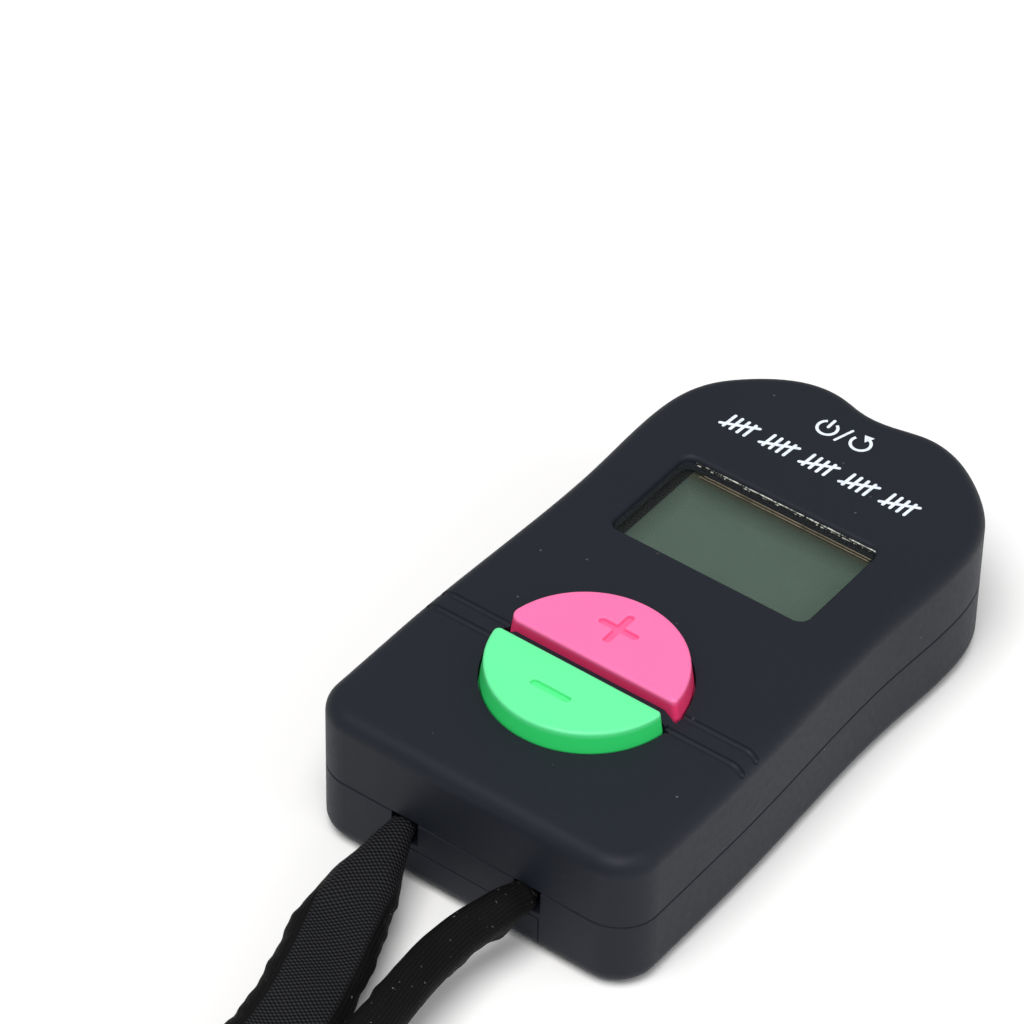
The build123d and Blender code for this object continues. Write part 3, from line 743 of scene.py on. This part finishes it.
def weave(name):
    """black woven tape: staggered yarn cells on the face, smooth rolled edges darkened partly by painted shade, with a
    few painted glints
    """
    mt, nt, bs = material(name)
    uv = node(nt, "ShaderNodeUVMap", uv_map="tape_mm")
    sep = node(nt, "ShaderNodeSeparateXYZ")
    link(nt, uv.outputs[0], sep.inputs[0])
    x = math_node(nt, "MULTIPLY", sep.outputs[0], 10.0)          # mm across
    y = math_node(nt, "MULTIPLY", sep.outputs[1], 10.0)          # mm along
    px, py = 0.64, 0.48
    wob = noise(nt, coords(nt), 900, 2)
    xx = math_node(nt, "ADD", math_node(nt, "MULTIPLY", x, 2 * math.pi / px), math_node(nt, "MULTIPLY", wob, 1.2))
    yy = math_node(nt, "MULTIPLY", y, 2 * math.pi / py)
    a = math_node(nt, "SINE", xx)
    b = math_node(nt, "SINE", yy)
    cell = math_node(nt, "MULTIPLY", a, b)
    cell01 = remap(nt, cell, -1.0, 1.0, 0.0, 1.0)
    edge = remap(nt, math_node(nt, "ABSOLUTE", x), 2.9, 3.25, 0.0, 1.0)
    smooth_shaded_edge_mask = node(nt, "ShaderNodeClamp")
    # the strand that leaves the right-hand slot shows the smooth side of the tape, darkened partly by painted shade
    far = remap(nt, y, LENGTH - 78, LENGTH - 70, 0.0, 1.0)
    link(nt, math_node(nt, "MAXIMUM", edge, far), smooth_shaded_edge_mask.inputs[0])
    col = ramp_node(nt, cell01, [(0.36, (0.0012, 0.0012, 0.0014)), (0.56, (0.0120, 0.0125, 0.0148)), (0.95, (0.0300, 0.0312, 0.0365))])
    rib = remap(nt, math_node(nt, "SINE", math_node(nt, "MULTIPLY", x, 2 * math.pi / 0.33)), -1, 1, 0, 1)
    # smooth side of the tape; its very dark colour on the rolled edges and the right strand is partly painted shade
    smooth_edge_colour_shaded = ramp_node(nt, rib, [(0.0, (0.0012, 0.0011, 0.0011)), (1.0, (0.0040, 0.0036, 0.0035))])
    c = mix_rgb(nt, smooth_shaded_edge_mask.outputs[0], col, smooth_edge_colour_shaded)
    # painted glints: sparse pale specks of painted highlight on the rolled edges
    painted_glint_noise = noise(nt, coords(nt), 2600, 1)
    c = mix_rgb(nt, math_node(nt, "MULTIPLY", remap(nt, painted_glint_noise, 0.74, 0.80, 0.0, 0.5), smooth_shaded_edge_mask.outputs[0]), c, (0.25, 0.25, 0.26))
    link(nt, c, bs.inputs["Base Color"])
    fib = noise(nt, coords(nt), 6000, 2)
    link(nt, remap(nt, fib, 0.3, 0.7, 0.62, 0.85), bs.inputs["Roughness"])
    bs.inputs["Specular IOR Level"].default_value = 0.12
    h = math_node(nt, "ADD", math_node(nt, "MULTIPLY", cell01, remap(nt, smooth_shaded_edge_mask.outputs[0], 0, 1, 1.0, 0.15)),
                  math_node(nt, "ADD", math_node(nt, "MULTIPLY", rib, math_node(nt, "MULTIPLY", smooth_shaded_edge_mask.outputs[0], 0.3)),
                            math_node(nt, "MULTIPLY", fib, 0.2)))
    bump(nt, bs, h, 0.9, 9e-5)
    return mt


def lcd_face(name):
    """grey-green film; the black frame hides its rim, and painted shadow darkens it under the far and left walls of the
    window
    """
    mt, nt, bs = material(name)
    v = coords(nt)
    sp = node(nt, "ShaderNodeSeparateXYZ")
    link(nt, v, sp.inputs[0])

    def band(sock, a, b, c_, d_):
        cl = node(nt, "ShaderNodeClamp")
        link(nt, remap(nt, sock, a * MM, b * MM, c_, d_), cl.inputs[0])
        return cl.outputs[0]

    n = noise(nt, v, 130, 4, 0.55)
    n2 = noise(nt, coords(nt, (1, 0.35, 1)), 420, 2)
    c = ramp_node(nt, n, [(0.3, (0.060, 0.095, 0.074)), (0.7, (0.070, 0.108, 0.085))])
    c = mix_rgb(nt, remap(nt, n2, 0.4, 0.8, 0.0, 0.15), c, (0.052, 0.084, 0.068))
    # painted shadow: darker towards the far wall (top) and the left wall of the window
    painted_wall_shadow = math_node(nt, "MAXIMUM", math_node(nt, "MULTIPLY", band(sp.outputs[1], 13.6, 16.4, 0.0, 1.0), 0.62),
                      math_node(nt, "MULTIPLY", band(sp.outputs[0], -8.8, -11.2, 0.0, 1.0), 0.42))
    c = mix_rgb(nt, painted_wall_shadow, c, (0.018, 0.024, 0.020))
    c = mix_rgb(nt, math_node(nt, "MULTIPLY", band(sp.outputs[1], 15.9, 16.5, 0.0, 1.0), 0.5), c, (0.045, 0.042, 0.018))
    rim_ = band(sp.outputs[0], -11.05, -11.2, 0.0, 1.0)
    c = mix_rgb(nt, rim_, c, (0.004, 0.004, 0.005))
    link(nt, c, bs.inputs["Base Color"])
    link(nt, remap(nt, n2, 0.3, 0.7, 0.34, 0.42), bs.inputs["Roughness"])
    bs.inputs["Specular IOR Level"].default_value = 0.15
    bump(nt, bs, noise(nt, v, 5000, 2), 0.05, 1e-5)
    return mt


def clear(name, tint, alpha, rough=0.06, ior=1.49):
    mt, nt, bs = material(name)
    v = coords(nt)
    n = noise(nt, v, 400, 2)
    link(nt, ramp_node(nt, n, [(0.3, tuple(c * 0.95 for c in tint)), (0.7, tint)]), bs.inputs["Base Color"])
    link(nt, remap(nt, n, 0.3, 0.7, rough, rough + 0.04), bs.inputs["Roughness"])
    bs.inputs["Alpha"].default_value = alpha
    bs.inputs["IOR"].default_value = ior
    return mt


M = {}
M["shell"] = soft_touch("soft_touch_black")
# the second colour of each cap is painted shade for its lower side walls
M["pink"] = glossy_cap("cap_pink", (0.98, 0.175, 0.415), (0.93, 0.050, 0.180), 18.85)
M["green"] = glossy_cap("cap_green", (0.135, 0.84, 0.345), (0.035, 0.72, 0.17), 18.85)
M["blue"] = glossy_cap("cap_blue", (0.30, 0.69, 0.93), (0.16, 0.52, 0.80))
M["strap"] = weave("woven_black")
M["lcd"] = lcd_face("lcd_film")
M["lens"] = clear("lens_clear", (0.32, 0.36, 0.35), 0.02)
M["lcd_glass"] = clear("lcd_glass", (0.70, 0.80, 0.72), 0.35)
M["reflector"] = plain("reflector_foil", (0.55, 0.57, 0.53), 0.35, metallic=0.8)
M["holder"] = plain("holder_black", (0.012, 0.012, 0.013), 0.6, spec=0.2)
M["silicone"] = plain("silicone_grey", (0.45, 0.45, 0.43), 0.55)
M["carbon"] = plain("carbon_black", (0.02, 0.02, 0.02), 0.8)
M["zebra"] = plain("zebra_rubber", (0.32, 0.32, 0.31), 0.7)
M["board"] = plain("board_green", (0.02, 0.16, 0.06), 0.35, var=0.3, scale=2500, coat=0.3)
M["epoxy"] = plain("epoxy_black", (0.010, 0.010, 0.011), 0.28)
M["steel"] = plain("nickel_steel", (0.62, 0.61, 0.58), 0.28, metallic=1.0)
M["screw"] = plain("screw_steel", (0.30, 0.30, 0.31), 0.36, metallic=1.0)
M["chip"] = plain("chip_brown", (0.12, 0.09, 0.06), 0.5)
M["switch"] = plain("switch_black", (0.03, 0.03, 0.03), 0.45)
M["ink"] = ink_white("ink_white")
# painted glints: bright and beige streaks of reflection painted into the window edge strips
M["glint_bright_painted"] = painted_edge_streaks("window_glint_bright_painted", (0.62, 0.64, 0.58), (0.012, 0.012, 0.012), 0.44, 0.60)
M["glint_broken_painted"] = painted_edge_streaks("window_glint_broken_painted", (0.60, 0.61, 0.56), (0.006, 0.006, 0.006), 0.52, 0.60, 1500.0)
M["glint_beige_painted"] = painted_edge_streaks("window_glint_beige_painted", (0.27, 0.22, 0.15), (0.07, 0.058, 0.036), 0.30, 0.68, 240.0)
M["tie"] = plain("tie_black", (0.016, 0.016, 0.017), 0.75, bump_s=0.4, bump_d=6e-5)
BY_NODE = {
    "front_shell": "shell", "back_shell": "shell", "battery_door": "shell",
    "plus_button": "pink", "minus_button": "green", "reset_button": "blue",
    "display_lens": "lens", "lcd_polarizer": "lcd", "lcd_front_glass": "lcd_glass", "lcd_rear_glass": "lcd_glass",
    "lcd_reflector": "reflector", "lcd_holder": "holder", "zebra_strip": "zebra", "circuit_board": "board",
    "controller_chip": "epoxy", "crystal": "steel", "chip_components": "chip", "case_screws": "screw",
    "centre_screw": "screw", "board_screws": "screw", "button_cell": "steel", "battery_contact_negative": "steel",
    "battery_contact_positive": "steel", "plus_dome": "silicone", "minus_dome": "silicone",
    "plus_contact_pill": "carbon", "minus_contact_pill": "carbon", "reset_switch": "switch",
    "reset_plunger": "switch", "reset_spring": "steel", "roll_tie": "tie", "lanyard_inner": "strap",
    "lanyard_strap_left": "strap", "lanyard_strap_right": "strap", "lanyard_roll": "strap",
}


def paint(ob, mt):
    ob.data.materials.clear()
    ob.data.materials.append(mt)


for n, o in NODES.items():
    paint(o, M[BY_NODE[n]])
paint(strap, M["strap"])
paint(inner, M["strap"])
paint(band, M["tie"])
paint(spring, M["steel"])
for o in ink:
    paint(o, M["ink"])
for o, k in ((edge_top, "glint_bright_painted"), (edge_mid, "glint_broken_painted"), (edge_low, "glint_beige_painted"), (edge_rib, "glint_beige_painted")):
    paint(o, M[k])

# ---------------------------------------------------------------- stage and light
bpy.context.scene.view_settings.view_transform = "Standard"
bpy.context.scene.view_settings.look = "None"
me = bpy.data.meshes.new("floor")
S = 4.0
me.from_pydata([(-S, -S, -0.0003), (S, -S, -0.0003), (S, S, -0.0003), (-S, S, -0.0003)], [], [(0, 1, 2, 3)])
floor = bpy.data.objects.new("floor", me)
bpy.context.scene.collection.objects.link(floor)
fm, fnt, fb = material("floor_pale")
fb.inputs["Base Color"].default_value = (0.93, 0.93, 0.93, 1)
fb.inputs["Roughness"].default_value = 0.85
fb.inputs["Specular IOR Level"].default_value = 0.1
paint(floor, fm)

world = bpy.data.worlds.new("studio")
bpy.context.scene.world = world
world.use_nodes = True
wn = world.node_tree
wn.nodes.clear()
wo = wn.nodes.new("ShaderNodeOutputWorld")
bg = wn.nodes.new("ShaderNodeBackground")
bg2 = wn.nodes.new("ShaderNodeBackground")
lp = wn.nodes.new("ShaderNodeLightPath")
mx = wn.nodes.new("ShaderNodeMixShader")
bg.inputs[0].default_value, bg.inputs[1].default_value = (1.0, 1.0, 1.0, 1), 0.42
bg2.inputs[0].default_value, bg2.inputs[1].default_value = (1.0, 1.0, 1.0, 1), 0.95
wn.links.new(lp.outputs["Is Camera Ray"], mx.inputs[0])
wn.links.new(bg.outputs[0], mx.inputs[1])
wn.links.new(bg2.outputs[0], mx.inputs[2])
wn.links.new(mx.outputs[0], wo.inputs[0])


def softbox(name, loc, target, size, power, colour=(1, 1, 1)):
    ld = bpy.data.lights.new(name, "AREA")
    ld.shape = "RECTANGLE"
    ld.size, ld.size_y = size
    ld.energy = power
    ld.color = colour
    ob = bpy.data.objects.new(name, ld)
    bpy.context.scene.collection.objects.link(ob)
    ob.location = loc
    ob.rotation_mode = "QUATERNION"
    ob.rotation_quaternion = (Vector(target) - Vector(loc)).to_track_quat("-Z", "Y")
    return ob


softbox("key", (0.10, -0.38, 0.95), (0, 0, 0), (0.6, 0.6), 9.0, (1.0, 0.99, 0.98))
softbox("fill", (0.75, 0.10, 0.45), (0, 0, 0), (0.6, 0.5), 1.6, (0.98, 0.99, 1.0))
